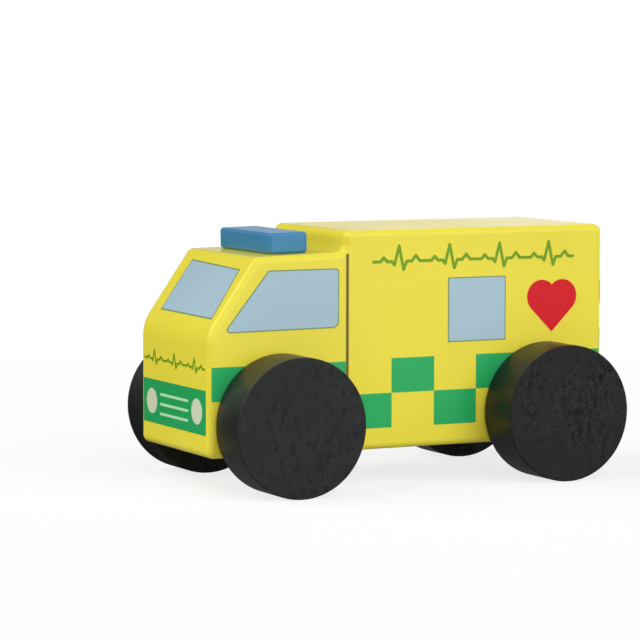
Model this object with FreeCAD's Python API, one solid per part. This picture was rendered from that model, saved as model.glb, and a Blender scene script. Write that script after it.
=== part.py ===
import FreeCAD, Part
import math
import os

# Wooden push-along toy ambulance, in millimetres.
# The nose faces -Y, the left side faces +X and up is +Z.
# The origin is on the floor, below the middle of the body.

# Body block: one piece of wood with a sloped windscreen and a stepped roof. The cab roof rises a
# little towards the step.
body_length = 150.0
body_width = 55.3
nose_face_height = 41.0
windscreen_run = 17.45
windscreen_rise = 24.8
cab_roof_length = 32.55
cab_roof_rise = 0.7
roof_step_height = 7.25
side_edge_radius = 2.3
corner_extra_radius = 0.3
nose_crease_radius = 14.0
roof_step_radius = 3.0

# Wheels and axles: each axle turns in the body and is glued into its two wheels
wheel_diameter = 46.5
wheel_thickness = 17.1
wheel_edge_radius = 0.6
wheel_gap = 0.5
wheel_hole_depth = 11.0
axle_diameter = 8.0
axle_running_clearance = 0.08
axle_rise = 10.75
front_axle_setback = 25.6
rear_axle_setback = 23.5

# Beacon block on the cab roof and the two dowels that hold it
beacon_length = 14.0
beacon_width = 39.7
beacon_height = 7.1
beacon_edge_radius = 1.2
beacon_setback = 8.5
dowel_diameter = 5.0
dowel_spacing = 20.0
dowel_depth_in_beacon = 4.0
dowel_depth_in_roof = 8.0
dowel_end_gap = 0.4

# Printed ink: one thin layer that follows the painted wood
ink_thickness = 0.1
window_outline_width = 0.4
print_end_margin = 1.1

# Windscreen: its print sits a little to the left of the middle, more so at the foot,
# and its left end is a little lower, more so at the head
windscreen_top_margin = 3.7
windscreen_print_height = 16.35
windscreen_foot_margin = 6.85
windscreen_foot_shift = 2.1
windscreen_foot_tilt = 0.3
windscreen_head_margin = 8.0
windscreen_head_shift = 1.2
windscreen_head_tilt = 1.0

# Door line, just behind the step in the roof
door_line_width = 1.0
door_line_offset = 0.7
door_line_top_margin = 0.4

# Cab side windows: the front edge leans a little further than the windscreen, and the lower edge
# falls a little towards the front
cab_window_top_margin = 5.1
cab_window_height = 20.2
cab_window_foot_drop = 0.4
cab_window_pillar = 5.0
cab_window_extra_run = 2.2
cab_window_rear_margin = 3.1
cab_window_front_radius = 1.2
cab_window_top_radius = 1.4
cab_window_bottom_radius = 2.4

# Green band on the cab and checks on the box
check_base_rise = 7.3
check_row_height = 11.65
side_check_columns = 6
side_check_tail_margin = 1.3
cab_band_top_drop = 0.4

# Pulse line along the top of the box side
pulse_top_margin = 5.0
pulse_height = 9.0
pulse_stroke = 1.0
pulse_front_margin = 9.2
pulse_rear_margin = 11.5
side_beats = 4

# Heart on the box side, below the pulse line
heart_width = 19.6
heart_tail_margin = 10.5
heart_top_margin = 4.6

# Box side window, ahead of the heart and between the pulse line and the checks
box_window_width = 22.45
box_window_top_margin = 2.7
box_window_bottom_margin = 4.5
box_window_rear_margin = 8.5

# Nose panel with its lamps and grille bars
nose_panel_rise = 7.6
nose_panel_height = 14.8
nose_panel_side_margin = 2.4
headlamp_diameter = 8.6
headlamp_end_margin = 2.7
grille_bar_end_margin = 2.5
grille_bar_thickness = 0.9
grille_bar_drop = 0.5
grille_bar_pitch = 3.3
grille_bar_count = 3

# Pulse line across the nose, above the panel
nose_pulse_base_margin = 5.0
nose_pulse_height = 5.4
nose_pulse_stroke = 0.7
nose_pulse_side_margin = 3.0
nose_beats = 3

# Checkerboard across the tail, whose prints run further round the edges
tail_check_columns = 3
tail_check_rows = 3
tail_check_row_height = 10.2
tail_print_end_margin = 0.5

# Tail doors: a lamp at each outer edge and a window inside each lamp
tail_lamp_width = 3.4
tail_lamp_height = 8.3
tail_lamp_rise = 46.2
tail_lamp_side_margin = 0.5
tail_lamp_radius = 0.8
tail_window_rise = 40.8
tail_window_height = 16.0
tail_window_lamp_margin = 4.4
tail_window_line_margin = 2.6
tail_window_radius = 1.2

# Radius at the ends of a grille bar, as a share of its thickness
grille_end_share = 0.45

# Most that the inside radius of the roof step may take of its straight wall, as a share
step_radius_share = 0.9

# Places along one beat of a pulse line, as shares of its length and of its height
beat_shares = [
    (0.00, 0.35), (0.14, 0.35), (0.20, 0.52), (0.27, 0.35), (0.36, 0.35), (0.41, 0.20),
    (0.50, 1.00), (0.59, 0.00), (0.65, 0.35), (0.75, 0.35), (0.83, 0.58), (0.91, 0.35),
]

# Places worked out from the sizes above
half_width = body_width / 2
nose_y = -body_length / 2
tail_y = body_length / 2
wheel_radius = wheel_diameter / 2
axle_z = wheel_radius
underside_z = axle_z - axle_rise
crease_z = underside_z + nose_face_height
windscreen_top_z = crease_z + windscreen_rise
cab_roof_z = windscreen_top_z + cab_roof_rise
box_roof_z = cab_roof_z + roof_step_height
windscreen_top_y = nose_y + windscreen_run
roof_step_y = windscreen_top_y + cab_roof_length
door_line_y = roof_step_y + door_line_offset
front_axle_y = nose_y + front_axle_setback
rear_axle_y = tail_y - rear_axle_setback
wheel_inner_x = half_width + wheel_gap
bore_radius = axle_diameter / 2 + axle_running_clearance
beacon_y = windscreen_top_y + beacon_setback + beacon_length / 2
cab_roof_pitch = math.degrees(math.atan2(cab_roof_rise, cab_roof_length))
dowel_places_x = (-dowel_spacing / 2, dowel_spacing / 2)
corner_radius = side_edge_radius + corner_extra_radius
pulse_base_z = box_roof_z - pulse_top_margin - pulse_height
heart_front_y = tail_y - heart_tail_margin - heart_width
nose_panel_base_z = underside_z + nose_panel_rise
nose_panel_top_z = nose_panel_base_z + nose_panel_height
nose_panel_middle_z = (nose_panel_base_z + nose_panel_top_z) / 2
nose_panel_half_width = half_width - nose_panel_side_margin
headlamp_radius = headlamp_diameter / 2
headlamp_x = nose_panel_half_width - headlamp_end_margin - headlamp_radius
tail_lamp_inner_x = half_width - tail_lamp_side_margin - tail_lamp_width

across = FreeCAD.Vector(1, 0, 0)
forwards = FreeCAD.Vector(0, -1, 0)
backwards = FreeCAD.Vector(0, 1, 0)
up = FreeCAD.Vector(0, 0, 1)


def side_point(y, z):
    """A point of a drawing made on the middle plane and seen from the left."""
    return FreeCAD.Vector(0, y, z)


def end_point(x, z):
    """A point of a drawing made on the plane across the middle of the body."""
    return FreeCAD.Vector(x, 0, z)


def neighbours(corners, index):
    """Unit directions of the runs that lead into and out of one corner."""
    place = corners[index][0]
    run_in = place - corners[index - 1][0]
    run_out = corners[(index + 1) % len(corners)][0] - place
    return run_in.normalize(), run_out.normalize()


def turning(corners):
    """Unit normal of the drawing plane, on the side from which the outline turns left."""
    total = FreeCAD.Vector(0, 0, 0)
    for index, (place, radius) in enumerate(corners):
        total += (corners[index - 1][0] - corners[0][0]).cross(place - corners[0][0])
    return total.normalize()


def moved_out(corners, distance):
    """The same outline with each run moved outwards and each arc kept parallel."""
    normal = turning(corners)
    moved = []
    for index, (place, radius) in enumerate(corners):
        run_in, run_out = neighbours(corners, index)
        out_in = run_in.cross(normal)
        out_out = run_out.cross(normal)
        shift = (out_in + out_out) * (distance / (1 + out_in.dot(out_out)))
        bulges = run_in.cross(run_out).dot(normal) > 0
        parallel_radius = radius + distance if bulges else radius - distance
        moved.append((place + shift, max(parallel_radius, 0) if radius else 0))
    return moved


def rounded_wire(corners):
    """Closed wire through corners given as (place, radius), with a tangent arc at each radius."""
    ends = []
    arcs = []
    for index, (place, radius) in enumerate(corners):
        if not radius:
            ends.append((place, place))
            continue
        run_in, run_out = neighbours(corners, index)
        half_turn = run_in.getAngle(run_out) / 2
        reach = radius * math.tan(half_turn)
        start = place - run_in * reach
        finish = place + run_out * reach
        inwards = (run_out - run_in).normalize()
        middle = place + inwards * (radius / math.cos(half_turn) - radius)
        arcs.append(Part.Arc(start, middle, finish).toShape())
        ends.append((start, finish))
    runs = [Part.makeLine(ends[index - 1][1], ends[index][0]) for index in range(len(ends))]
    return Part.Wire(Part.sortEdges(runs + arcs)[0])


def drawn(corners):
    """Flat face inside a rounded outline."""
    return Part.Face(rounded_wire(corners))


def rectangle(point, low, high, radius):
    """Corners of an upright rectangle, with one radius all round."""
    places = [(low[0], low[1]), (high[0], low[1]), (high[0], high[1]), (low[0], high[1])]
    return [(point(*place), radius) for place in places]


def pair_across(corners):
    """A rounded outline on the left and its mirror image on the right."""
    other = [(end_point(-place.x, place.z), radius) for place, radius in corners]
    return [corners, other]


def joined(shapes):
    """One shape that holds several separate solids."""
    solids = [solid for shape in shapes for solid in shape.Solids]
    return solids[0] if len(solids) == 1 else Part.makeCompound(solids)


def mirrored(shape):
    """A shape's mirror image on the other side of the body."""
    return shape.mirror(FreeCAD.Vector(0, 0, 0), across)


def crossways(radius, x_low, x_high, y, z):
    """Round bar along X."""
    return Part.makeCylinder(radius, x_high - x_low, FreeCAD.Vector(x_low, y, z), across)


def body_outline():
    """Side view of the body block, from the bottom of the nose up and over to the tail."""
    step_radius = min(roof_step_radius, (roof_step_height - corner_radius) * step_radius_share)
    return [
        (side_point(nose_y, underside_z), corner_radius),
        (side_point(nose_y, crease_z), nose_crease_radius),
        (side_point(windscreen_top_y, windscreen_top_z), corner_radius),
        (side_point(roof_step_y, cab_roof_z), step_radius),
        (side_point(roof_step_y, box_roof_z), corner_radius),
        (side_point(tail_y, box_roof_z), corner_radius),
        (side_point(tail_y, underside_z), corner_radius),
    ]


def plain_body(skin):
    """Body block before drilling, with its whole surface moved out by skin."""
    reach = half_width + skin
    face = drawn(moved_out(body_outline(), skin))
    face.translate(across * -reach)
    block = face.extrude(across * (reach * 2))
    rims = [edge for edge in block.Edges if abs(edge.CenterOfMass.x) > reach / 2]
    return block.makeFillet(side_edge_radius + skin, rims)


def axle_bores():
    """Round bars that drill the two axle bores through the body."""
    reach = half_width + wheel_gap
    return [crossways(bore_radius, -reach, reach, y, axle_z) for y in (front_axle_y, rear_axle_y)]


def on_cab_roof(shape):
    """A shape made on a level roof, tipped about the foot of the step to lie on the cab roof."""
    return shape.rotated(side_point(roof_step_y, cab_roof_z), across, cab_roof_pitch)


def dowel_holes():
    """Round bars that drill the dowel holes in the cab roof and in the beacon."""
    depth = dowel_depth_in_roof + dowel_depth_in_beacon + dowel_end_gap * 2
    base_z = cab_roof_z - dowel_depth_in_roof - dowel_end_gap
    places = [FreeCAD.Vector(x, beacon_y, base_z) for x in dowel_places_x]
    return [on_cab_roof(Part.makeCylinder(dowel_diameter / 2, depth, place, up)) for place in places]


def body_block():
    """The wooden body with its axle bores and dowel holes."""
    return plain_body(0).cut(axle_bores() + dowel_holes())


def beacon_block():
    """The blue block on the cab roof, softened on every edge."""
    corner = FreeCAD.Vector(-beacon_width / 2, beacon_y - beacon_length / 2, cab_roof_z)
    block = Part.makeBox(beacon_width, beacon_length, beacon_height, corner)
    softened = block.makeFillet(beacon_edge_radius, block.Edges)
    return on_cab_roof(softened).cut(dowel_holes())


def beacon_dowel(x):
    """One dowel between the cab roof and the beacon."""
    length = dowel_depth_in_roof + dowel_depth_in_beacon
    place = FreeCAD.Vector(x, beacon_y, cab_roof_z - dowel_depth_in_roof)
    return on_cab_roof(Part.makeCylinder(dowel_diameter / 2, length, place, up))


def axle(y):
    """Wooden axle that ends at the bottom of the blind hole in each wheel."""
    reach = wheel_inner_x + wheel_hole_depth
    return crossways(axle_diameter / 2, -reach, reach, y, axle_z)


def left_wheel(y):
    """Solid wheel with softened rims and a blind hole on its inner face."""
    disc = crossways(wheel_radius, wheel_inner_x, wheel_inner_x + wheel_thickness, y, axle_z)
    rims = [edge for edge in disc.Edges if len(edge.Vertexes) == 1]
    hole = crossways(axle_diameter / 2, wheel_inner_x, wheel_inner_x + wheel_hole_depth, y, axle_z)
    return disc.makeFillet(wheel_edge_radius, rims).cut(hole)


def ink_zone(low, high):
    """Part of a layer of ink round the body, between two opposite corners of a box."""
    corner = FreeCAD.Vector(*low)
    size = FreeCAD.Vector(*high) - corner
    layer = plain_body(ink_thickness).cut(plain_body(0))
    return layer.common(Part.makeBox(size.x, size.y, size.z, corner))


def side_ink():
    """Ink that the left side can take, drilled with the axle bores."""
    low = (half_width - side_edge_radius, nose_y + print_end_margin, 0)
    high = (body_width, tail_y - print_end_margin, box_roof_z)
    return ink_zone(low, high).cut(axle_bores())


def nose_ink():
    """Ink that the nose and the windscreen can take."""
    reach = half_width - print_end_margin
    return ink_zone((-reach, -body_length, 0), (reach, 0, box_roof_z))


def tail_ink():
    """Ink that the tail can take."""
    reach = half_width - tail_print_end_margin
    return ink_zone((-reach, 0, 0), (reach, body_length, box_roof_z))


def printed(ink, faces, direction):
    """Prints cut from the ink, by carrying faces from the middle of the body in one direction."""
    return joined([ink.common(face.extrude(direction * body_length)) for face in faces])


def pane(corners):
    """Area inside a window's outline."""
    return drawn(moved_out(corners, -window_outline_width))


def window_outline(corners):
    """Thin band round a window."""
    return drawn(corners).cut(pane(corners))


def cab_window():
    """Side window whose front edge runs along the windscreen's slope."""
    top_z = cab_roof_z - cab_window_top_margin
    bottom_z = top_z - cab_window_height
    slope = windscreen_run / windscreen_rise
    foot_y = nose_y + cab_window_pillar + (bottom_z - crease_z) * slope
    head_y = foot_y + cab_window_height * slope + cab_window_extra_run
    rear_y = door_line_y - cab_window_rear_margin
    rear_z = bottom_z + cab_window_foot_drop
    return [
        (side_point(foot_y, bottom_z), cab_window_front_radius),
        (side_point(head_y, top_z), cab_window_front_radius),
        (side_point(rear_y, top_z), cab_window_top_radius),
        (side_point(rear_y, rear_z), cab_window_bottom_radius),
    ]


def box_window():
    """Square-cornered window ahead of the heart."""
    rear_y = heart_front_y - box_window_rear_margin
    low = (rear_y - box_window_width, check_row_z(2) + box_window_bottom_margin)
    high = (rear_y, pulse_base_z - box_window_top_margin)
    return rectangle(side_point, low, high, 0)


def windscreen_edge(margin, z, shift, tilt):
    """Right and left end of the windscreen's foot or head, moved to the left and lowered there."""
    reach = half_width - margin
    drop = tilt / 2
    return [end_point(shift - reach, z + drop), end_point(shift + reach, z - drop)]


def windscreen():
    """Windscreen, a little wider at its foot."""
    top_z = windscreen_top_z - windscreen_top_margin
    bottom_z = top_z - windscreen_print_height
    foot = windscreen_edge(windscreen_foot_margin, bottom_z, windscreen_foot_shift, windscreen_foot_tilt)
    head = windscreen_edge(windscreen_head_margin, top_z, windscreen_head_shift, windscreen_head_tilt)
    return [(place, 0) for place in foot + head[::-1]]


def tail_windows():
    """Two windows between the tail lamps and the tail door line."""
    low = (door_line_width / 2 + tail_window_line_margin, underside_z + tail_window_rise)
    high = (tail_lamp_inner_x - tail_window_lamp_margin, low[1] + tail_window_height)
    return pair_across(rectangle(end_point, low, high, tail_window_radius))


def door_line(point, middle):
    """Thin upright line, from the lower edge of the body to the top of the doors."""
    low = (middle - door_line_width / 2, underside_z + print_end_margin)
    high = (middle + door_line_width / 2, cab_roof_z - door_line_top_margin)
    return drawn(rectangle(point, low, high, 0))


def check_row_z(row):
    """Lower edge of a row of checks, counted from the bottom."""
    return underside_z + check_base_rise + check_row_height * row


def cab_band():
    """Green band on the cab side, beside the upper row of checks and a little lower at its top."""
    low = (nose_y + print_end_margin, check_row_z(1))
    high = (door_line_y - door_line_width / 2, check_row_z(2) - cab_band_top_drop)
    return drawn(rectangle(side_point, low, high, 0))


def side_checks():
    """Checks along the box that step between the lower and the upper row, lower row first."""
    start = door_line_y + door_line_width / 2
    pitch = (tail_y - side_check_tail_margin - start) / side_check_columns
    faces = []
    for column in range(side_check_columns):
        row = column % 2
        low = (start + pitch * column, check_row_z(row))
        high = (start + pitch * (column + 1), check_row_z(row + 1))
        faces.append(drawn(rectangle(side_point, low, high, 0)))
    return faces


def tail_checks():
    """Checkerboard across the tail, with a check in each corner, parted by the door line."""
    reach = half_width - tail_print_end_margin
    pitch = reach * 2 / tail_check_columns
    line = door_line(end_point, 0)
    faces = []
    for row in range(tail_check_rows):
        for column in range(row % 2, tail_check_columns, 2):
            low = (pitch * column - reach, check_row_z(0) + tail_check_row_height * row)
            high = (pitch * (column + 1) - reach, low[1] + tail_check_row_height)
            faces.append(drawn(rectangle(end_point, low, high, 0)).cut(line))
    return faces


def heart():
    """Heart made of a square on its corner and a half circle on each upper side."""
    half_diagonal = heart_width / (1 + math.sqrt(2))
    lobe_radius = half_diagonal / math.sqrt(2)
    middle_y = heart_front_y + heart_width / 2
    shoulder_z = pulse_base_z - heart_top_margin - half_diagonal / 2 - lobe_radius
    tip = side_point(middle_y, shoulder_z - half_diagonal)
    notch = side_point(middle_y, shoulder_z + half_diagonal)
    edges = []
    for hand in (-1, 1):
        shoulder = side_point(middle_y + hand * half_diagonal, shoulder_z)
        outwards = side_point(hand, 1).normalize()
        lobe_top = (shoulder + notch) / 2 + outwards * lobe_radius
        edges.append(Part.makeLine(tip, shoulder))
        edges.append(Part.Arc(shoulder, lobe_top, notch).toShape())
    return Part.Face(Part.Wire(Part.sortEdges(edges)[0]))


def pulse_line(point, low, high, beats, stroke):
    """Heartbeat line of one stroke width, drawn from left to right inside a box."""
    pitch = (high[0] - low[0] - stroke) / beats
    height = high[1] - low[1] - stroke
    steps = [(beat + along, rise) for beat in range(beats) for along, rise in beat_shares]
    steps.append((beats, beat_shares[0][1]))
    left = low[0] + stroke / 2
    bottom = low[1] + stroke / 2
    places = [point(left + pitch * along, bottom + height * rise) for along, rise in steps]
    return Part.makePolygon(places).makeOffset2D(stroke / 2, 0, True, False)


def side_pulse():
    """Pulse line along the top of the box side."""
    low = (door_line_y + pulse_front_margin, pulse_base_z)
    high = (tail_y - pulse_rear_margin, pulse_base_z + pulse_height)
    return pulse_line(side_point, low, high, side_beats, pulse_stroke)


def nose_pulse():
    """Pulse line across the nose, above the lamps."""
    reach = half_width - nose_pulse_side_margin
    low = (-reach, nose_panel_top_z + nose_pulse_base_margin)
    high = (reach, low[1] + nose_pulse_height)
    return pulse_line(end_point, low, high, nose_beats, nose_pulse_stroke)


def headlamps():
    """Two round lamps near the ends of the nose panel."""
    places = [end_point(x, nose_panel_middle_z) for x in (-headlamp_x, headlamp_x)]
    circles = [Part.Circle(place, backwards, headlamp_radius) for place in places]
    return [Part.Face(Part.Wire(circle.toShape())) for circle in circles]


def grille_bars():
    """Bars with rounded ends between the lamps, a little below the middle of the panel."""
    reach = headlamp_x - headlamp_radius - grille_bar_end_margin
    centre_z = nose_panel_middle_z - grille_bar_drop
    faces = []
    for index in range(grille_bar_count):
        middle_z = centre_z + grille_bar_pitch * (index - (grille_bar_count - 1) / 2)
        low = (-reach, middle_z - grille_bar_thickness / 2)
        high = (reach, middle_z + grille_bar_thickness / 2)
        faces.append(drawn(rectangle(end_point, low, high, grille_bar_thickness * grille_end_share)))
    return faces


def nose_panel():
    """Green panel with the lamps and bars left open."""
    low = (-nose_panel_half_width, nose_panel_base_z)
    high = (nose_panel_half_width, nose_panel_top_z)
    return drawn(rectangle(end_point, low, high, 0)).cut(headlamps() + grille_bars())


def tail_lamps():
    """Two upright lamps at the outer edges of the tail."""
    low = (tail_lamp_inner_x, underside_z + tail_lamp_rise)
    high = (tail_lamp_inner_x + tail_lamp_width, low[1] + tail_lamp_height)
    lamps = pair_across(rectangle(end_point, low, high, tail_lamp_radius))
    return [drawn(lamp) for lamp in lamps]


def wooden_pieces():
    """The block, the beacon, its dowels, the axles and the wheels, by name."""
    pieces = {"body_block": body_block(), "beacon_block": beacon_block()}
    for hand, x in zip(("right", "left"), dowel_places_x):
        pieces[hand + "_beacon_dowel"] = beacon_dowel(x)
    for end, y in (("front", front_axle_y), ("rear", rear_axle_y)):
        pieces[end + "_axle"] = axle(y)
        pieces[end + "_left_wheel"] = left_wheel(y)
        pieces[end + "_right_wheel"] = mirrored(left_wheel(y))
    return pieces


def left_prints():
    """Every print on the left side, by name."""
    ink = side_ink()
    return {
        "cab_window_print": printed(ink, [pane(cab_window())], across),
        "cab_window_outline_print": printed(ink, [window_outline(cab_window())], across),
        "box_window_print": printed(ink, [pane(box_window())], across),
        "box_window_outline_print": printed(ink, [window_outline(box_window())], across),
        "door_line_print": printed(ink, [door_line(side_point, door_line_y)], across),
        "cab_band_print": printed(ink, [cab_band()], across),
        "check_print": printed(ink, side_checks(), across),
        "heart_print": printed(ink, [heart()], across),
        "pulse_print": printed(ink, [side_pulse()], across),
    }


def nose_prints():
    """Every print on the nose and the windscreen, by name."""
    ink = nose_ink()
    return {
        "windscreen_print": printed(ink, [pane(windscreen())], forwards),
        "windscreen_outline_print": printed(ink, [window_outline(windscreen())], forwards),
        "nose_panel_print": printed(ink, [nose_panel()], forwards),
        "headlamp_print": printed(ink, headlamps(), forwards),
        "grille_bar_print": printed(ink, grille_bars(), forwards),
        "nose_pulse_print": printed(ink, [nose_pulse()], forwards),
    }


def tail_prints():
    """Every print on the tail, by name."""
    ink = tail_ink()
    panes = [pane(window) for window in tail_windows()]
    outlines = [window_outline(window) for window in tail_windows()]
    return {
        "tail_window_print": printed(ink, panes, backwards),
        "tail_window_outline_print": printed(ink, outlines, backwards),
        "tail_door_line_print": printed(ink, [door_line(end_point, 0)], backwards),
        "tail_check_print": printed(ink, tail_checks(), backwards),
        "tail_lamp_print": printed(ink, tail_lamps(), backwards),
    }


nodes = wooden_pieces()
for name, shape in left_prints().items():
    nodes["left_" + name] = shape
    nodes["right_" + name] = mirrored(shape)
nodes.update(nose_prints())
nodes.update(tail_prints())

os.makedirs("parts", exist_ok=True)
for name, shape in nodes.items():
    shape.exportStep("parts/" + name + ".step")
    print(name, len(shape.Solids), round(shape.Volume, 2), shape.isValid())
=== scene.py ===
import bpy
import math
from mathutils import Matrix, Vector


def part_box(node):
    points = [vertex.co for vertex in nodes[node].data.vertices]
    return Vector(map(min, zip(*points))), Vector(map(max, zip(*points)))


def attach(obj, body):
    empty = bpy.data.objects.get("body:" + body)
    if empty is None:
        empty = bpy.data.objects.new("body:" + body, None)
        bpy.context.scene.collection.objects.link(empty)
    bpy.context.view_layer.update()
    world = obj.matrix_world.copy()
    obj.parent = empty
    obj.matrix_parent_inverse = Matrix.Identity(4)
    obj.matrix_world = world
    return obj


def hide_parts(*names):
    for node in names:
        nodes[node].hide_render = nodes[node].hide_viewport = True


# Looks of a wooden toy ambulance: satin yellow paint, printed livery, a blue beacon block
# and black stained wheels with open grain. All lengths are in metres.

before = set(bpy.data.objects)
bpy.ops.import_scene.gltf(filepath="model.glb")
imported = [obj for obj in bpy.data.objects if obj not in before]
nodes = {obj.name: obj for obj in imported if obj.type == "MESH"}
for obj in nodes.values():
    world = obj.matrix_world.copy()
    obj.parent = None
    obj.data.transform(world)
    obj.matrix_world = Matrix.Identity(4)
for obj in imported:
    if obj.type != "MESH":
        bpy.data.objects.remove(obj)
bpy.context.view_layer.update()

# Camera at the photograph's angle, far away with a long lens
camera_azimuth = 63.23
camera_elevation = 4.89
camera_roll = 0.115
camera_distance = 1.0571
camera_target = Vector((0.0, -0.02055, 0.05427))
camera_lens = 174.34
camera_sensor = 36.0

# Light: a faint even room and three wide soft lamps, off the nose, off the left side and behind.
# Azimuths turn from the nose towards the left side, in degrees.
room_strength = 0.06
background_strength = 1.0
nose_lamp = {"strength": 2.70, "azimuth": -20.0, "elevation": 37.5, "spread": 64.0}
side_lamp = {"strength": 2.78, "azimuth": 104.0, "elevation": 27.0, "spread": 70.0}
back_lamp = {"strength": 0.10, "azimuth": 235.0, "elevation": 35.0, "spread": 110.0}

# The room as shiny surfaces see it: a pale backdrop, plain walls and one unlit corner
backdrop_azimuth = 225.0
backdrop_strength = 0.84
wall_strength = 0.02
dim_corner_azimuth = 290.0
dim_corner_elevation = 15.0
dim_corner_share = 0.18
dim_corner_rim = 0.62
dim_corner_core = 0.82
backdrop_edge = (0.3, 0.8)

# Floor: a round white table top
floor_radius = 0.42
floor_sides = 128
floor_albedo = 0.55
floor_seen_albedo = 0.20
floor_glow = 0.79
floor_gloss_share = 0.05
floor_gloss_glow = 0.165
floor_cloud_density = 3.0
floor_cloud_share = 0.02
floor_cloud_tone = 0.95

# Wheels: sizes that the frame doesn't give, the steps of their mesh and the relief of their sawn faces
wheel_rim = 0.0004
wheel_sides = 320
face_rings = 56
tread_rings = 20
rim_rings = 3
hole_sides = 48
sharp_edge_angle = 40.0
wheel_relief = 0.00005
wheel_relief_density = 1100.0
relief_edge_share = 0.93

# Places of a Mix node's sockets for colours, which share their names with those for numbers
mix_share = 0
mix_first = 6
mix_second = 7
mix_result = 2

# Where a noise counts as low and as high
noise_middle = 0.5
noise_core = (0.35, 0.65)
noise_wide = (0.3, 0.7)

# Density of the wood's fibres along each axis: low along the grain, in cells per metre
body_grain = (900.0, 60.0, 900.0)
beacon_grain = (60.0, 900.0, 900.0)
axle_grain = (90.0, 1400.0, 1400.0)
dowel_grain = (1400.0, 1400.0, 90.0)
pore_core = 0.3

# Paint and ink: tones are shares of the colour, and the film's patterns are in cells per metre
film_wave_density = 520.0
film_gloss_density = 38.0
film_tone_density = 13.0
film_depth = 0.6
gloss_dip = 0.05
gloss_rise = 0.06
paint_pore_share = 0.36
paint_tones = (0.965, 1.03)
paint_fibre_tone = 0.93
paint_fibre_share = 0.16
paint_grain_depth = 0.25
paint_dust_density = 230.0
paint_dust_share = 0.02
paint_speck_share = 0.12
ink_tones = (0.95, 1.05)
ink_mottle_density = 1400.0
ink_mottle_tone = 0.92
ink_mottle_share = 0.4
ink_grain_depth = 0.5
ink_roughness = 0.22
ink_specular = 0.18
dust_dot_edge = (0.10, 0.26)

# Stained wheels: the sawn grain, how strong it is at the front and the rear, and the gloss
sawn_density = (480.0, 480.0, 320.0)
sawn_patch_edge = (0.34, 0.56)
sawn_pit_edge = (0.51, 0.61)
sawn_fleck_width = 0.05
sawn_fleck_share = 0.9
sawn_cloud_edge = (0.75, 1.25)
wheel_grain_shares = (0.5, 0.85)
wheel_cloud_tone = 1.45
wheel_pit_tone = 0.08
wheel_dust_density = 620.0
wheel_dust_share = 0.05
wheel_speck_share = 0.10
tread_start_share = 0.20
tread_full_share = 0.01
tread_relief_share = 0.02
face_roughness = (0.66, 0.80)
tread_roughness = (0.36, 0.40)
wheel_specular = 0.32
relief_edge = (0.35, 0.70)

# Bare beech
beech_pore_share = 0.38
beech_tones = (0.78, 1.15)
beech_pore_tone = 0.45
beech_pore_strength = 0.7
beech_roughness = (0.55, 0.7)

# Colours, linear
white = (1.0, 1.0, 1.0)
black = (0.0, 0.0, 0.0)
yellow = (0.800, 0.690, 0.056)
blue = (0.056, 0.230, 0.445)
stain_black = (0.0108, 0.0132, 0.0126)
# The rear wheels get a darker, bluer black than the front ones
darker_rear_black = (0.0062, 0.0078, 0.0084)
wheel_stains = (stain_black, darker_rear_black)
stain_fleck = (0.034, 0.037, 0.034)
beech = (0.560, 0.360, 0.180)
window_blue = (0.370, 0.520, 0.600)
outline_olive = (0.180, 0.285, 0.130)
green = (0.024, 0.395, 0.115)
panel_green = (0.019, 0.352, 0.100)
pulse_green = (0.150, 0.330, 0.014)
door_brown = (0.170, 0.135, 0.012)
red = (0.640, 0.006, 0.016)
lamp_cream = (0.620, 0.680, 0.480)
bar_mint = (0.440, 0.780, 0.450)
paint_speck = (0.70, 0.68, 0.60)
wheel_speck = (0.13, 0.13, 0.12)


def place(tree, kind, settings=None, **inputs):
    """A new node, with its properties from settings and its sockets set or linked by name."""
    node = tree.nodes.new(kind)
    for name, value in (settings or {}).items():
        setattr(node, name, value)
    for name, value in inputs.items():
        fill(tree, node.inputs[name.replace("_", " ")], value)
    return node


def fill(tree, socket, value):
    """Link a socket to another node's output, or give it a plain value."""
    if isinstance(value, bpy.types.NodeSocket):
        tree.links.new(value, socket)
    elif isinstance(value, tuple) and socket.type == "RGBA":
        socket.default_value = (*value, 1.0)
    else:
        socket.default_value = value


def maths(tree, operation, *values):
    """One step of arithmetic on numbers that change over the surface."""
    node = tree.nodes.new("ShaderNodeMath")
    node.operation = operation
    for socket, value in zip(node.inputs, values):
        fill(tree, socket, value)
    return node.outputs["Value"]


def remap(tree, value, low, high, new_low, new_high, smooth=False):
    """Carry a number from one range to another and keep it there."""
    node = place(tree, "ShaderNodeMapRange", {"clamp": True}, Value=value)
    if smooth:
        node.interpolation_type = "SMOOTHSTEP"
    for name, bound in zip(("From Min", "From Max", "To Min", "To Max"), (low, high, new_low, new_high)):
        fill(tree, node.inputs[name], bound)
    return node.outputs["Result"]


def blend_colours(tree, share, first, second):
    """Mix two colours by a share."""
    node = place(tree, "ShaderNodeMix", {"data_type": "RGBA"})
    fill(tree, node.inputs[mix_share], share)
    fill(tree, node.inputs[mix_first], first)
    fill(tree, node.inputs[mix_second], second)
    return node.outputs[mix_result]


def new_group(name, inputs, outputs, kind="ShaderNodeTree"):
    """An empty node group with named sockets, and its inner input and output nodes."""
    tree = bpy.data.node_groups.new(name, kind)
    for way, sockets in (("INPUT", inputs), ("OUTPUT", outputs)):
        for label, socket_kind in sockets:
            tree.interface.new_socket(label, in_out=way, socket_type=socket_kind)
    return tree, tree.nodes.new("NodeGroupInput").outputs, tree.nodes.new("NodeGroupOutput").inputs


def stretched_place(tree, given):
    """A group's place vector, multiplied by its density along each axis."""
    stretched = place(tree, "ShaderNodeVectorMath", {"operation": "MULTIPLY"})
    tree.links.new(given["Vector"], stretched.inputs[0])
    tree.links.new(given["Density"], stretched.inputs[1])
    return stretched.outputs["Vector"]


def noise(tree, spot, scale, detail, roughness):
    """A soft random pattern with a fixed look."""
    node = place(
        tree, "ShaderNodeTexNoise", Vector=spot, Scale=scale, Detail=detail, Roughness=roughness
    )
    return node.outputs["Fac"]


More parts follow.
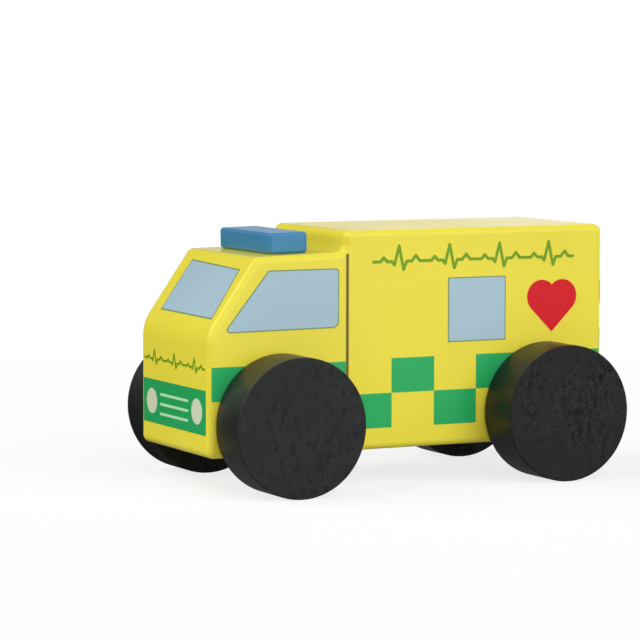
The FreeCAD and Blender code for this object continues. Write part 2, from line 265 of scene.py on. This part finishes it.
def use_group(tree, group, **inputs):
    """Place a node group in a material with its own values."""
    node = tree.nodes.new("ShaderNodeGroup")
    node.node_tree = group
    for name, value in inputs.items():
        fill(tree, node.inputs[name.replace("_", " ")], value)
    return node.outputs


def wood_grain_group():
    """Long fibres and short open pores that run along one axis of the piece."""
    tree, given, result = new_group(
        "wood grain",
        [("Vector", "NodeSocketVector"), ("Density", "NodeSocketVector"), ("Pore Share", "NodeSocketFloat")],
        [("Fibres", "NodeSocketFloat"), ("Pores", "NodeSocketFloat"), ("Height", "NodeSocketFloat")],
    )
    spot = stretched_place(tree, given)
    fibres = noise(tree, spot, scale=1.0, detail=5.0, roughness=0.62)
    pores = noise(tree, spot, scale=2.7, detail=2.0, roughness=0.5)
    pore_mask = remap(tree, pores, given["Pore Share"], pore_core, 0.0, 1.0, smooth=True)
    tree.links.new(fibres, result["Fibres"])
    tree.links.new(pore_mask, result["Pores"])
    tree.links.new(maths(tree, "SUBTRACT", fibres, pore_mask), result["Height"])
    return tree


def sawn_grain_group():
    """A cross-cut face of dense wood: small pits, short curled flecks and a faint cloudiness."""
    tree, given, result = new_group(
        "sawn grain",
        [("Vector", "NodeSocketVector"), ("Density", "NodeSocketVector")],
        [
            ("Pits", "NodeSocketFloat"), ("Flecks", "NodeSocketFloat"),
            ("Cloud", "NodeSocketFloat"), ("Height", "NodeSocketFloat"),
        ],
    )
    spot = stretched_place(tree, given)
    coarse = noise(tree, spot, scale=0.12, detail=3.0, roughness=0.6)
    middling = noise(tree, spot, scale=1.0, detail=3.0, roughness=0.6)
    fine = noise(tree, spot, scale=1.9, detail=2.0, roughness=0.5)
    patches = remap(tree, coarse, *sawn_patch_edge, 0.0, 1.0, smooth=True)
    hollows = remap(tree, middling, *sawn_pit_edge, 0.0, 1.0, smooth=True)
    pits = maths(tree, "MULTIPLY", hollows, patches)
    ridge = maths(tree, "ABSOLUTE", maths(tree, "SUBTRACT", fine, noise_middle))
    curls = remap(tree, ridge, 0.0, sawn_fleck_width, sawn_fleck_share, 0.0, smooth=True)
    cloud = remap(tree, maths(tree, "ADD", coarse, middling), *sawn_cloud_edge, 0.0, 1.0)
    tree.links.new(pits, result["Pits"])
    tree.links.new(maths(tree, "MULTIPLY", curls, patches), result["Flecks"])
    tree.links.new(cloud, result["Cloud"])
    tree.links.new(maths(tree, "SUBTRACT", fine, pits), result["Height"])
    return tree


def brushed_film_group():
    """The slight waviness of a brushed or sprayed film, its uneven gloss and its broad drift of tone."""
    tree, given, result = new_group(
        "brushed film",
        [("Vector", "NodeSocketVector"), ("Wave Density", "NodeSocketFloat")],
        [("Height", "NodeSocketFloat"), ("Gloss", "NodeSocketFloat"), ("Tone", "NodeSocketFloat")],
    )
    spot = given["Vector"]
    waves = noise(tree, spot, scale=given["Wave Density"], detail=2.0, roughness=0.45)
    patches = noise(tree, spot, scale=film_gloss_density, detail=3.0, roughness=0.55)
    broad = noise(tree, spot, scale=film_tone_density, detail=1.0, roughness=0.4)
    tree.links.new(waves, result["Height"])
    tree.links.new(patches, result["Gloss"])
    tree.links.new(broad, result["Tone"])
    return tree


def dust_group():
    """Sparse specks of dust and tiny nicks."""
    tree, given, result = new_group(
        "dust specks",
        [("Vector", "NodeSocketVector"), ("Density", "NodeSocketFloat"), ("Share", "NodeSocketFloat")],
        [("Specks", "NodeSocketFloat")],
    )
    cells = place(
        tree, "ShaderNodeTexVoronoi", {"feature": "F1"},
        Vector=given["Vector"], Scale=given["Density"], Randomness=1.0,
    )
    draw = place(tree, "ShaderNodeSeparateColor", Color=cells.outputs["Color"]).outputs["Red"]
    chosen = maths(tree, "LESS_THAN", draw, given["Share"])
    dot = remap(tree, cells.outputs["Distance"], *dust_dot_edge, 1.0, 0.0, smooth=True)
    tree.links.new(maths(tree, "MULTIPLY", chosen, dot), result["Specks"])
    return tree


def direction(azimuth, elevation):
    """Unit vector from the object towards a place seen at this angle."""
    turn = math.radians(azimuth)
    rise = math.radians(elevation)
    return Vector((math.sin(turn) * math.cos(rise), -math.cos(turn) * math.cos(rise), math.sin(rise)))


def nearness(tree, outwards, azimuth, elevation):
    """How nearly a direction points at a place: 1 straight at it, 0 square to it."""
    sight = place(tree, "ShaderNodeVectorMath", {"operation": "DOT_PRODUCT"})
    tree.links.new(outwards, sight.inputs[0])
    sight.inputs[1].default_value = direction(azimuth, elevation)
    return sight.outputs["Value"]


def dim_corner_group():
    """How much light is left in the unlit corner of the room, by direction."""
    tree, given, result = new_group(
        "dim corner",
        [("Vector", "NodeSocketVector"), ("Least", "NodeSocketFloat")],
        [("Share", "NodeSocketFloat")],
    )
    outwards = place(tree, "ShaderNodeVectorMath", {"operation": "NORMALIZE"})
    tree.links.new(given["Vector"], outwards.inputs[0])
    sight = nearness(tree, outwards.outputs["Vector"], dim_corner_azimuth, dim_corner_elevation)
    share = remap(tree, sight, dim_corner_rim, dim_corner_core, 1.0, given["Least"], smooth=True)
    tree.links.new(share, result["Share"])
    return tree


wood_grain = wood_grain_group()
sawn_grain = sawn_grain_group()
brushed_film = brushed_film_group()
dust_specks = dust_group()
dim_corner = dim_corner_group()


def new_material(name):
    """A material with a Principled shader, and the coordinates that ride on the piece."""
    material = bpy.data.materials.new(name)
    material.use_nodes = True
    tree = material.node_tree
    shader = tree.nodes["Principled BSDF"]
    coordinates = tree.nodes.new("ShaderNodeTexCoord").outputs["Object"]
    return material, tree, shader, coordinates


def scaled(colour, factor):
    """A colour made lighter or darker."""
    return tuple(channel * factor for channel in colour)


def between_tones(tree, share, colour, tones):
    """A colour that drifts between a darker and a lighter tone of itself."""
    darker, lighter = tones
    return blend_colours(tree, share, scaled(colour, darker), scaled(colour, lighter))


def speckled(tree, coordinates, density, share, strength, colour, speck):
    """A colour with specks of dust on it."""
    dust = use_group(tree, dust_specks, Vector=coordinates, Density=density, Share=share)
    return blend_colours(tree, maths(tree, "MULTIPLY", dust["Specks"], strength), colour, speck)


def roughen(tree, shader, height, strength, depth):
    """Bend the light on a surface as a relief of this depth would."""
    bump = place(tree, "ShaderNodeBump", Strength=strength, Distance=depth, Height=height)
    fill(tree, shader.inputs["Normal"], bump.outputs["Normal"])


def satin_film(tree, shader, film, grain, roughness, grain_depth):
    """Uneven gloss, and the faint relief of a film and of the wood under it."""
    gloss = remap(tree, film["Gloss"], *noise_wide, roughness - gloss_dip, roughness + gloss_rise)
    fill(tree, shader.inputs["Roughness"], gloss)
    film_height = maths(tree, "MULTIPLY", film["Height"], film_depth)
    grain_height = maths(tree, "MULTIPLY", grain["Height"], grain_depth)
    roughen(tree, shader, maths(tree, "ADD", film_height, grain_height), strength=0.5, depth=0.00003)


def paint(name, colour, density, roughness, specular):
    """Opaque satin paint on wood: fibres show through as a faint relief and tone."""
    material, tree, shader, coordinates = new_material(name)
    grain = use_group(tree, wood_grain, Vector=coordinates, Density=density, Pore_Share=paint_pore_share)
    film = use_group(tree, brushed_film, Vector=coordinates, Wave_Density=film_wave_density)
    toned = between_tones(tree, remap(tree, film["Tone"], *noise_core, 0.0, 1.0), colour, paint_tones)
    fibres = remap(tree, grain["Fibres"], *noise_core, 0.0, paint_fibre_share)
    fibred = blend_colours(tree, fibres, toned, scaled(colour, paint_fibre_tone))
    specked = speckled(
        tree, coordinates, paint_dust_density, paint_dust_share, paint_speck_share, fibred, paint_speck
    )
    fill(tree, shader.inputs["Base Color"], specked)
    satin_film(tree, shader, film, grain, roughness, paint_grain_depth)
    shader.inputs["Specular IOR Level"].default_value = specular
    return material


def ink(name, colour):
    """Screen-printed ink that lies on the paint and takes a little of its relief."""
    material, tree, shader, coordinates = new_material(name)
    film = use_group(tree, brushed_film, Vector=coordinates, Wave_Density=film_wave_density)
    grain = use_group(tree, wood_grain, Vector=coordinates, Density=body_grain, Pore_Share=paint_pore_share)
    mottle = noise(tree, coordinates, scale=ink_mottle_density, detail=2.0, roughness=0.6)
    toned = between_tones(tree, remap(tree, film["Tone"], *noise_core, 0.0, 1.0), colour, ink_tones)
    patches = remap(tree, mottle, *noise_core, 0.0, ink_mottle_share)
    mottled = blend_colours(tree, patches, toned, scaled(colour, ink_mottle_tone))
    fill(tree, shader.inputs["Base Color"], mottled)
    satin_film(tree, shader, film, grain, ink_roughness, ink_grain_depth)
    shader.inputs["Specular IOR Level"].default_value = ink_specular
    return material


def tread_mask(tree, coordinates, axle_place):
    """1 on the tread and 0 on the faces of a wheel, by the distance from its axle."""
    centred = place(tree, "ShaderNodeMapping", Vector=coordinates)
    centred.inputs["Location"].default_value = -axle_place
    parts = place(tree, "ShaderNodeSeparateXYZ", Vector=centred.outputs["Vector"])
    squares = [maths(tree, "MULTIPLY", parts.outputs[axis], parts.outputs[axis]) for axis in "YZ"]
    radius = maths(tree, "SQRT", maths(tree, "ADD", *squares))
    start = wheel_radius - wheel_rim * tread_start_share
    full = wheel_radius - wheel_rim * tread_full_share
    return remap(tree, radius, start, full, 0.0, 1.0)


def stained_wheel(name, axle_place, stain, grain_share):
    """Black stain on close-grained wood: pitted sawn faces and a smooth, shinier tread."""
    material, tree, shader, coordinates = new_material(name)
    tread = tread_mask(tree, coordinates, axle_place)
    face = maths(tree, "SUBTRACT", 1.0, tread)
    sawn = use_group(tree, sawn_grain, Vector=coordinates, Density=sawn_density)
    grain_mask = maths(tree, "MULTIPLY", face, grain_share)
    stained = blend_colours(tree, tread, stain, stain_black)
    cloud = maths(tree, "MULTIPLY", sawn["Cloud"], face)
    clouded = blend_colours(tree, cloud, stained, scaled(stain, wheel_cloud_tone))
    flecks = maths(tree, "MULTIPLY", sawn["Flecks"], grain_mask)
    flecked = blend_colours(tree, flecks, clouded, stain_fleck)
    pits = maths(tree, "MULTIPLY", sawn["Pits"], grain_mask)
    pitted = blend_colours(tree, pits, flecked, scaled(stain, wheel_pit_tone))
    specked = speckled(
        tree, coordinates, wheel_dust_density, wheel_dust_share, wheel_speck_share, pitted, wheel_speck
    )
    fill(tree, shader.inputs["Base Color"], specked)
    on_face = maths(tree, "MULTIPLY", remap(tree, sawn["Cloud"], 0.0, 1.0, *face_roughness), face)
    on_tread = maths(tree, "MULTIPLY", remap(tree, sawn["Cloud"], 0.0, 1.0, *tread_roughness), tread)
    fill(tree, shader.inputs["Roughness"], maths(tree, "ADD", on_face, on_tread))
    shader.inputs["Specular IOR Level"].default_value = wheel_specular
    softened = maths(tree, "MULTIPLY", sawn["Height"], remap(tree, tread, 0.0, 1.0, 1.0, tread_relief_share))
    roughen(tree, shader, softened, strength=0.6, depth=0.0001)
    return material


def bare_wood(name, density):
    """Unpainted beech, as on the axles and the dowels."""
    material, tree, shader, coordinates = new_material(name)
    grain = use_group(tree, wood_grain, Vector=coordinates, Density=density, Pore_Share=beech_pore_share)
    toned = between_tones(tree, remap(tree, grain["Fibres"], *noise_wide, 0.0, 1.0), beech, beech_tones)
    pores = maths(tree, "MULTIPLY", grain["Pores"], beech_pore_strength)
    pored = blend_colours(tree, pores, toned, scaled(beech, beech_pore_tone))
    fill(tree, shader.inputs["Base Color"], pored)
    fill(tree, shader.inputs["Roughness"], remap(tree, grain["Fibres"], *noise_wide, *beech_roughness))
    roughen(tree, shader, grain["Height"], strength=0.6, depth=0.00008)
    return material


def dress(name, material):
    """Give a node of the CAD model its finished material."""
    for slot in nodes[name].material_slots:
        slot.material = material


def rounded_span(tree, share, straight_share, half_size, rim):
    """Carry a share of a half size to its straight stretch and its rounded end, as two lengths."""
    straight = remap(tree, share, 0.0, straight_share, 0.0, maths(tree, "SUBTRACT", half_size, rim))
    rounded = remap(tree, share, straight_share, 1.0, 0.0, rim)
    return straight, rounded


def turned_disc(tree, radius, thickness, rim):
    """A disc on the Z axis with rounded rims and rings of faces, fine enough to take a relief."""
    disc = place(
        tree, "GeometryNodeMeshCylinder", {"fill_type": "TRIANGLE_FAN"},
        Vertices=wheel_sides, Side_Segments=tread_rings, Fill_Segments=face_rings, Radius=1.0, Depth=2.0,
    )
    at = tree.nodes.new("GeometryNodeInputPosition").outputs["Position"]
    flat = place(tree, "ShaderNodeVectorMath", {"operation": "MULTIPLY"})
    tree.links.new(at, flat.inputs[0])
    flat.inputs[1].default_value = (1.0, 1.0, 0.0)
    spoke = place(tree, "ShaderNodeVectorMath", {"operation": "NORMALIZE"})
    tree.links.new(flat.outputs["Vector"], spoke.inputs[0])
    from_axis = place(tree, "ShaderNodeVectorMath", {"operation": "LENGTH"})
    tree.links.new(flat.outputs["Vector"], from_axis.inputs[0])
    height = place(tree, "ShaderNodeSeparateXYZ", Vector=at).outputs["Z"]
    half_thickness = maths(tree, "MULTIPLY", thickness, 0.5)
    flat_share = 1 - rim_rings / face_rings
    reach, rim_reach = rounded_span(tree, from_axis.outputs["Value"], flat_share, radius, rim)
    tread_share = 1 - 2 * rim_rings / tread_rings
    rise, rim_rise = rounded_span(tree, maths(tree, "ABSOLUTE", height), tread_share, half_thickness, rim)
    bend = place(tree, "ShaderNodeVectorMath", {"operation": "NORMALIZE"})
    across_rim = place(tree, "ShaderNodeCombineXYZ", X=rim_reach, Y=rim_rise)
    tree.links.new(across_rim.outputs["Vector"], bend.inputs[0])
    curve = place(tree, "ShaderNodeSeparateXYZ", Vector=bend.outputs["Vector"])
    turned_reach = maths(tree, "MULTIPLY_ADD", curve.outputs["X"], rim, reach)
    turned_rise = maths(tree, "MULTIPLY_ADD", curve.outputs["Y"], rim, rise)
    outwards = place(tree, "ShaderNodeVectorMath", {"operation": "SCALE"}, Scale=turned_reach)
    tree.links.new(spoke.outputs["Vector"], outwards.inputs[0])
    upwards = place(
        tree, "ShaderNodeCombineXYZ", Z=maths(tree, "MULTIPLY", maths(tree, "SIGN", height), turned_rise)
    )
    turned = place(tree, "ShaderNodeVectorMath", {"operation": "ADD"})
    tree.links.new(outwards.outputs["Vector"], turned.inputs[0])
    tree.links.new(upwards.outputs["Vector"], turned.inputs[1])
    moved = place(
        tree, "GeometryNodeSetPosition",
        Geometry=disc.outputs["Mesh"], Position=turned.outputs["Vector"],
    )
    return moved.outputs["Geometry"]


def sawn_face(tree, geometry, thickness, relief, density, seed):
    """Shallow pits and ridges cut into the outer face, fading out at the tread."""
    at = tree.nodes.new("GeometryNodeInputPosition").outputs["Position"]
    height = place(tree, "ShaderNodeSeparateXYZ", Vector=at).outputs["Z"]
    half_thickness = maths(tree, "MULTIPLY", thickness, 0.5)
    edge = maths(tree, "MULTIPLY", half_thickness, relief_edge_share)
    mask = remap(tree, height, edge, half_thickness, 0.0, relief)
    seeded = place(
        tree, "ShaderNodeTexNoise", {"noise_dimensions": "4D"},
        Vector=at, W=seed, Scale=density, Detail=1.5, Roughness=0.6,
    )
    pits = remap(tree, seeded.outputs["Fac"], *relief_edge, 0.0, -1.0)
    cut = maths(tree, "MULTIPLY", pits, mask)
    offset = place(tree, "ShaderNodeVectorMath", {"operation": "SCALE"}, Scale=cut)
    tree.links.new(tree.nodes.new("GeometryNodeInputNormal").outputs["Normal"], offset.inputs[0])
    moved = place(tree, "GeometryNodeSetPosition", Geometry=geometry, Offset=offset.outputs["Vector"])
    return moved.outputs["Geometry"]


def axle_hole(tree, geometry, thickness, radius, depth):
    """A blind hole drilled into the inner face."""
    drill = place(
        tree, "GeometryNodeMeshCylinder", {"fill_type": "NGON"},
        Vertices=hole_sides, Radius=radius, Depth=maths(tree, "MULTIPLY", depth, 2.0),
    )
    inner_face = place(tree, "ShaderNodeCombineXYZ", Z=maths(tree, "MULTIPLY", thickness, -0.5))
    lowered = place(
        tree, "GeometryNodeTransform",
        Geometry=drill.outputs["Mesh"], Translation=inner_face.outputs["Vector"],
    )
    drilled = place(tree, "GeometryNodeMeshBoolean", {"operation": "DIFFERENCE", "solver": "EXACT"})
    tree.links.new(geometry, drilled.inputs["Mesh 1"])
    tree.links.new(lowered.outputs["Geometry"], drilled.inputs["Mesh 2"])
    return drilled.outputs["Mesh"]


def shaded(tree, geometry):
    """Smooth shading that breaks at sharp edges."""
    smooth = place(tree, "GeometryNodeSetShadeSmooth", Geometry=geometry, Shade_Smooth=True)
    angle = tree.nodes.new("GeometryNodeInputMeshEdgeAngle").outputs["Unsigned Angle"]
    sharp = maths(tree, "GREATER_THAN", angle, math.radians(sharp_edge_angle))
    broken = place(
        tree, "GeometryNodeSetShadeSmooth", {"domain": "EDGE"},
        Geometry=smooth.outputs["Geometry"], Selection=sharp, Shade_Smooth=False,
    )
    return broken.outputs["Geometry"]


def wheel_pair_tree():
    """Geometry nodes for the two wheels of one axle: one is turned, sawn and drilled, and used twice."""
    tree, given, result = new_group(
        "wheel pair",
        [
            ("Radius", "NodeSocketFloat"),
            ("Thickness", "NodeSocketFloat"),
            ("Rim Radius", "NodeSocketFloat"),
            ("Hole Radius", "NodeSocketFloat"),
            ("Hole Depth", "NodeSocketFloat"),
            ("Gauge", "NodeSocketFloat"),
            ("Middle", "NodeSocketVector"),
            ("Relief", "NodeSocketFloat"),
            ("Relief Density", "NodeSocketFloat"),
            ("Seed", "NodeSocketFloat"),
            ("Stain", "NodeSocketMaterial"),
        ],
        [("Geometry", "NodeSocketGeometry")],
        kind="GeometryNodeTree",
    )
    disc = turned_disc(tree, given["Radius"], given["Thickness"], given["Rim Radius"])
    sawn = sawn_face(tree, disc, given["Thickness"], given["Relief"], given["Relief Density"], given["Seed"])
    drilled = axle_hole(tree, sawn, given["Thickness"], given["Hole Radius"], given["Hole Depth"])
    start = place(tree, "ShaderNodeCombineXYZ", X=maths(tree, "MULTIPLY", given["Gauge"], -0.5))
    step = place(tree, "ShaderNodeCombineXYZ", X=given["Gauge"])
    ends = place(
        tree, "GeometryNodeMeshLine",
        Count=2, Start_Location=start.outputs["Vector"], Offset=step.outputs["Vector"],
    )
    index = tree.nodes.new("GeometryNodeInputIndex").outputs["Index"]
    turn = maths(tree, "MULTIPLY", maths(tree, "SUBTRACT", index, 0.5), math.pi)
    pair = place(
        tree, "GeometryNodeInstanceOnPoints",
        Points=ends.outputs["Mesh"], Instance=shaded(tree, drilled),
        Rotation=place(tree, "ShaderNodeCombineXYZ", Y=turn).outputs["Vector"],
    )
    placed = place(
        tree, "GeometryNodeTransform", Geometry=pair.outputs["Instances"], Translation=given["Middle"]
    )
    real = place(tree, "GeometryNodeRealizeInstances", Geometry=placed.outputs["Geometry"])
    stained = place(
        tree, "GeometryNodeSetMaterial", Geometry=real.outputs["Geometry"], Material=given["Stain"]
    )
    tree.links.new(stained.outputs["Geometry"], result["Geometry"])
    return tree


def grown(name, tree, inputs):
    """A plain mesh object made by a tree of geometry nodes with these inputs."""
    piece = bpy.data.objects.new(name, bpy.data.meshes.new(name))
    bpy.context.scene.collection.objects.link(piece)
    modifier = piece.modifiers.new(tree.name, "NODES")
    modifier.node_group = tree
    for label, value in inputs.items():
        modifier[tree.interface.items_tree[label].identifier] = value
    graph = bpy.context.evaluated_depsgraph_get()
    mesh = bpy.data.meshes.new_from_object(piece.evaluated_get(graph), depsgraph=graph)
    piece.modifiers.remove(modifier)
    piece.data = mesh
    return piece


wheel_low, wheel_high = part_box("front_left_wheel")
wheel_radius = (wheel_high.z - wheel_low.z) / 2


def add_wheels():
    """The wheels of both axles, in place of the plain discs of the frame."""
    tree = wheel_pair_tree()
    for seed, end in enumerate(("front", "rear")):
        axle_low, axle_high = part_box(end + "_axle")
        middle = (axle_low + axle_high) / 2
        stain = stained_wheel(end + " wheel stain", middle, wheel_stains[seed], wheel_grain_shares[seed])
        pair = grown(end + "_wheel_pair", tree, {
            "Radius": wheel_radius,
            "Thickness": wheel_high.x - wheel_low.x,
            "Rim Radius": wheel_rim,
            "Hole Radius": (axle_high.z - axle_low.z) / 2,
            "Hole Depth": axle_high.x - wheel_low.x,
            "Gauge": wheel_high.x + wheel_low.x,
            "Middle": middle,
            "Relief": wheel_relief,
            "Relief Density": wheel_relief_density,
            "Seed": float(seed),
            "Stain": stain,
        })
        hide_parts(end + "_left_wheel", end + "_right_wheel")
        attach(pair, end + "_wheelset")


def dress_wood():
    """Paint, stain and bare wood on the wooden pieces."""
    dress("body_block", paint("yellow paint", yellow, body_grain, roughness=0.18, specular=0.20))
    dress("beacon_block", paint("blue paint", blue, beacon_grain, roughness=0.26, specular=0.16))
    axle_wood = bare_wood("bare axle wood", axle_grain)
    dowel_wood = bare_wood("bare dowel wood", dowel_grain)
    for end in ("front", "rear"):
        dress(end + "_axle", axle_wood)
    for hand in ("left", "right"):
        dress(hand + "_beacon_dowel", dowel_wood)


def dress_prints():
    """Ink on every printed node, by the last words of its name."""
    inks = {
        "window_print": ink("window ink", window_blue),
        "window_outline_print": ink("outline ink", outline_olive),
        "windscreen_outline_print": ink("windscreen outline ink", outline_olive),
        "windscreen_print": ink("windscreen ink", window_blue),
        "door_line_print": ink("door line ink", door_brown),
        "cab_band_print": ink("green ink", green),
        "check_print": ink("check ink", green),
        "nose_panel_print": ink("panel ink", panel_green),
        "pulse_print": ink("pulse ink", pulse_green),
        "heart_print": ink("heart ink", red),
        "headlamp_print": ink("headlamp ink", lamp_cream),
        "grille_bar_print": ink("bar ink", bar_mint),
        "tail_lamp_print": ink("tail lamp ink", red),
    }
    for name in nodes:
        for ending, material in inks.items():
            if name.endswith(ending):
                dress(name, material)


def add_camera():
    """Camera at the photograph's viewing angle."""
    data = bpy.data.cameras.new("camera")
    data.lens = camera_lens
    data.sensor_width = camera_sensor
    camera = bpy.data.objects.new("camera", data)
    bpy.context.scene.collection.objects.link(camera)
    back = direction(camera_azimuth, camera_elevation)
    right = Vector((0.0, 0.0, 1.0)).cross(back).normalized()
    level = Matrix((right, back.cross(right), back)).transposed()
    rolled = level @ Matrix.Rotation(math.radians(camera_roll), 3, "Z")
    camera.matrix_world = Matrix.Translation(camera_target + back * camera_distance) @ rolled.to_4x4()
    bpy.context.scene.camera = camera


def add_lamp(name, strength, azimuth, elevation, spread):
    """A wide soft lamp with parallel light, so that the floor stays even."""
    data = bpy.data.lights.new(name, "SUN")
    data.energy = strength
    data.angle = math.radians(spread)
    lamp = bpy.data.objects.new(name, data)
    bpy.context.scene.collection.objects.link(lamp)
    lamp.rotation_mode = "QUATERNION"
    lamp.rotation_quaternion = direction(azimuth, elevation).to_track_quat("Z", "Y")


def add_room():
    """Pale surroundings: white to the camera, and with one dim corner to shiny surfaces."""
    world = bpy.data.worlds.new("pale room")
    world.use_nodes = True
    tree = world.node_tree
    rays = tree.nodes.new("ShaderNodeLightPath").outputs
    outwards = tree.nodes.new("ShaderNodeTexCoord").outputs["Generated"]
    backdrop = nearness(tree, outwards, backdrop_azimuth, 0.0)
    lit = remap(tree, backdrop, *backdrop_edge, wall_strength, backdrop_strength, smooth=True)
    dimmed = use_group(tree, dim_corner, Vector=outwards, Least=dim_corner_share)
    gloss = maths(tree, "MULTIPLY", lit, dimmed["Share"])
    for_gloss = place(tree, "ShaderNodeMix", Factor=rays["Is Glossy Ray"], A=room_strength, B=gloss)
    seen = maths(tree, "ADD", rays["Is Camera Ray"], rays["Is Transmission Ray"])
    by_ray = for_gloss.outputs["Result"]
    brightness = place(tree, "ShaderNodeMix", Factor=seen, A=by_ray, B=background_strength).outputs["Result"]
    background = tree.nodes["Background"]
    fill(tree, background.inputs["Color"], blend_colours(tree, brightness, black, white))
    background.inputs["Strength"].default_value = 1.0
    bpy.context.scene.world = world


def add_floor():
    """Plain pale floor that keeps the object's shadow."""
    mesh = bpy.data.meshes.new("floor")
    turns = [math.tau * step / floor_sides for step in range(floor_sides)]
    rim = [(floor_radius * math.cos(turn), floor_radius * math.sin(turn), 0.0) for turn in turns]
    mesh.from_pydata(rim, [], [tuple(range(floor_sides))])
    floor = bpy.data.objects.new("floor", mesh)
    bpy.context.scene.collection.objects.link(floor)
    material, tree, shader, coordinates = new_material("floor")
    cloud = noise(tree, coordinates, scale=floor_cloud_density, detail=2.0, roughness=0.5)
    pale = scaled(white, floor_albedo)
    seen = scaled(white, floor_seen_albedo)
    share = remap(tree, cloud, *noise_wide, 0.0, floor_cloud_share)
    clouded = blend_colours(tree, share, pale, scaled(pale, floor_cloud_tone))
    clouded_seen = blend_colours(tree, share, seen, scaled(seen, floor_cloud_tone))
    dimmed = use_group(tree, dim_corner, Vector=coordinates, Least=dim_corner_share)
    for_gloss = blend_colours(tree, dimmed["Share"], black, scaled(pale, floor_gloss_share))
    rays = tree.nodes.new("ShaderNodeLightPath").outputs
    for_light = blend_colours(tree, rays["Is Glossy Ray"], clouded, for_gloss)
    by_ray = blend_colours(tree, rays["Is Camera Ray"], for_light, clouded_seen)
    fill(tree, shader.inputs["Base Color"], by_ray)
    shader.inputs["Roughness"].default_value = 1.0
    shader.inputs["Specular IOR Level"].default_value = 0.0
    gloss_glow = maths(tree, "MULTIPLY", dimmed["Share"], floor_gloss_glow)
    lift = maths(tree, "MULTIPLY", rays["Is Glossy Ray"], gloss_glow)
    glow = maths(tree, "MULTIPLY_ADD", rays["Is Camera Ray"], floor_glow, lift)
    fill(tree, shader.inputs["Emission Color"], blend_colours(tree, glow, black, white))
    shader.inputs["Emission Strength"].default_value = 1.0
    mesh.materials.append(material)


dress_wood()
dress_prints()
add_wheels()
add_floor()
add_room()
add_lamp("nose lamp", **nose_lamp)
add_lamp("side lamp", **side_lamp)
add_lamp("back lamp", **back_lamp)
add_camera()
bpy.context.scene.view_settings.view_transform = "Standard"
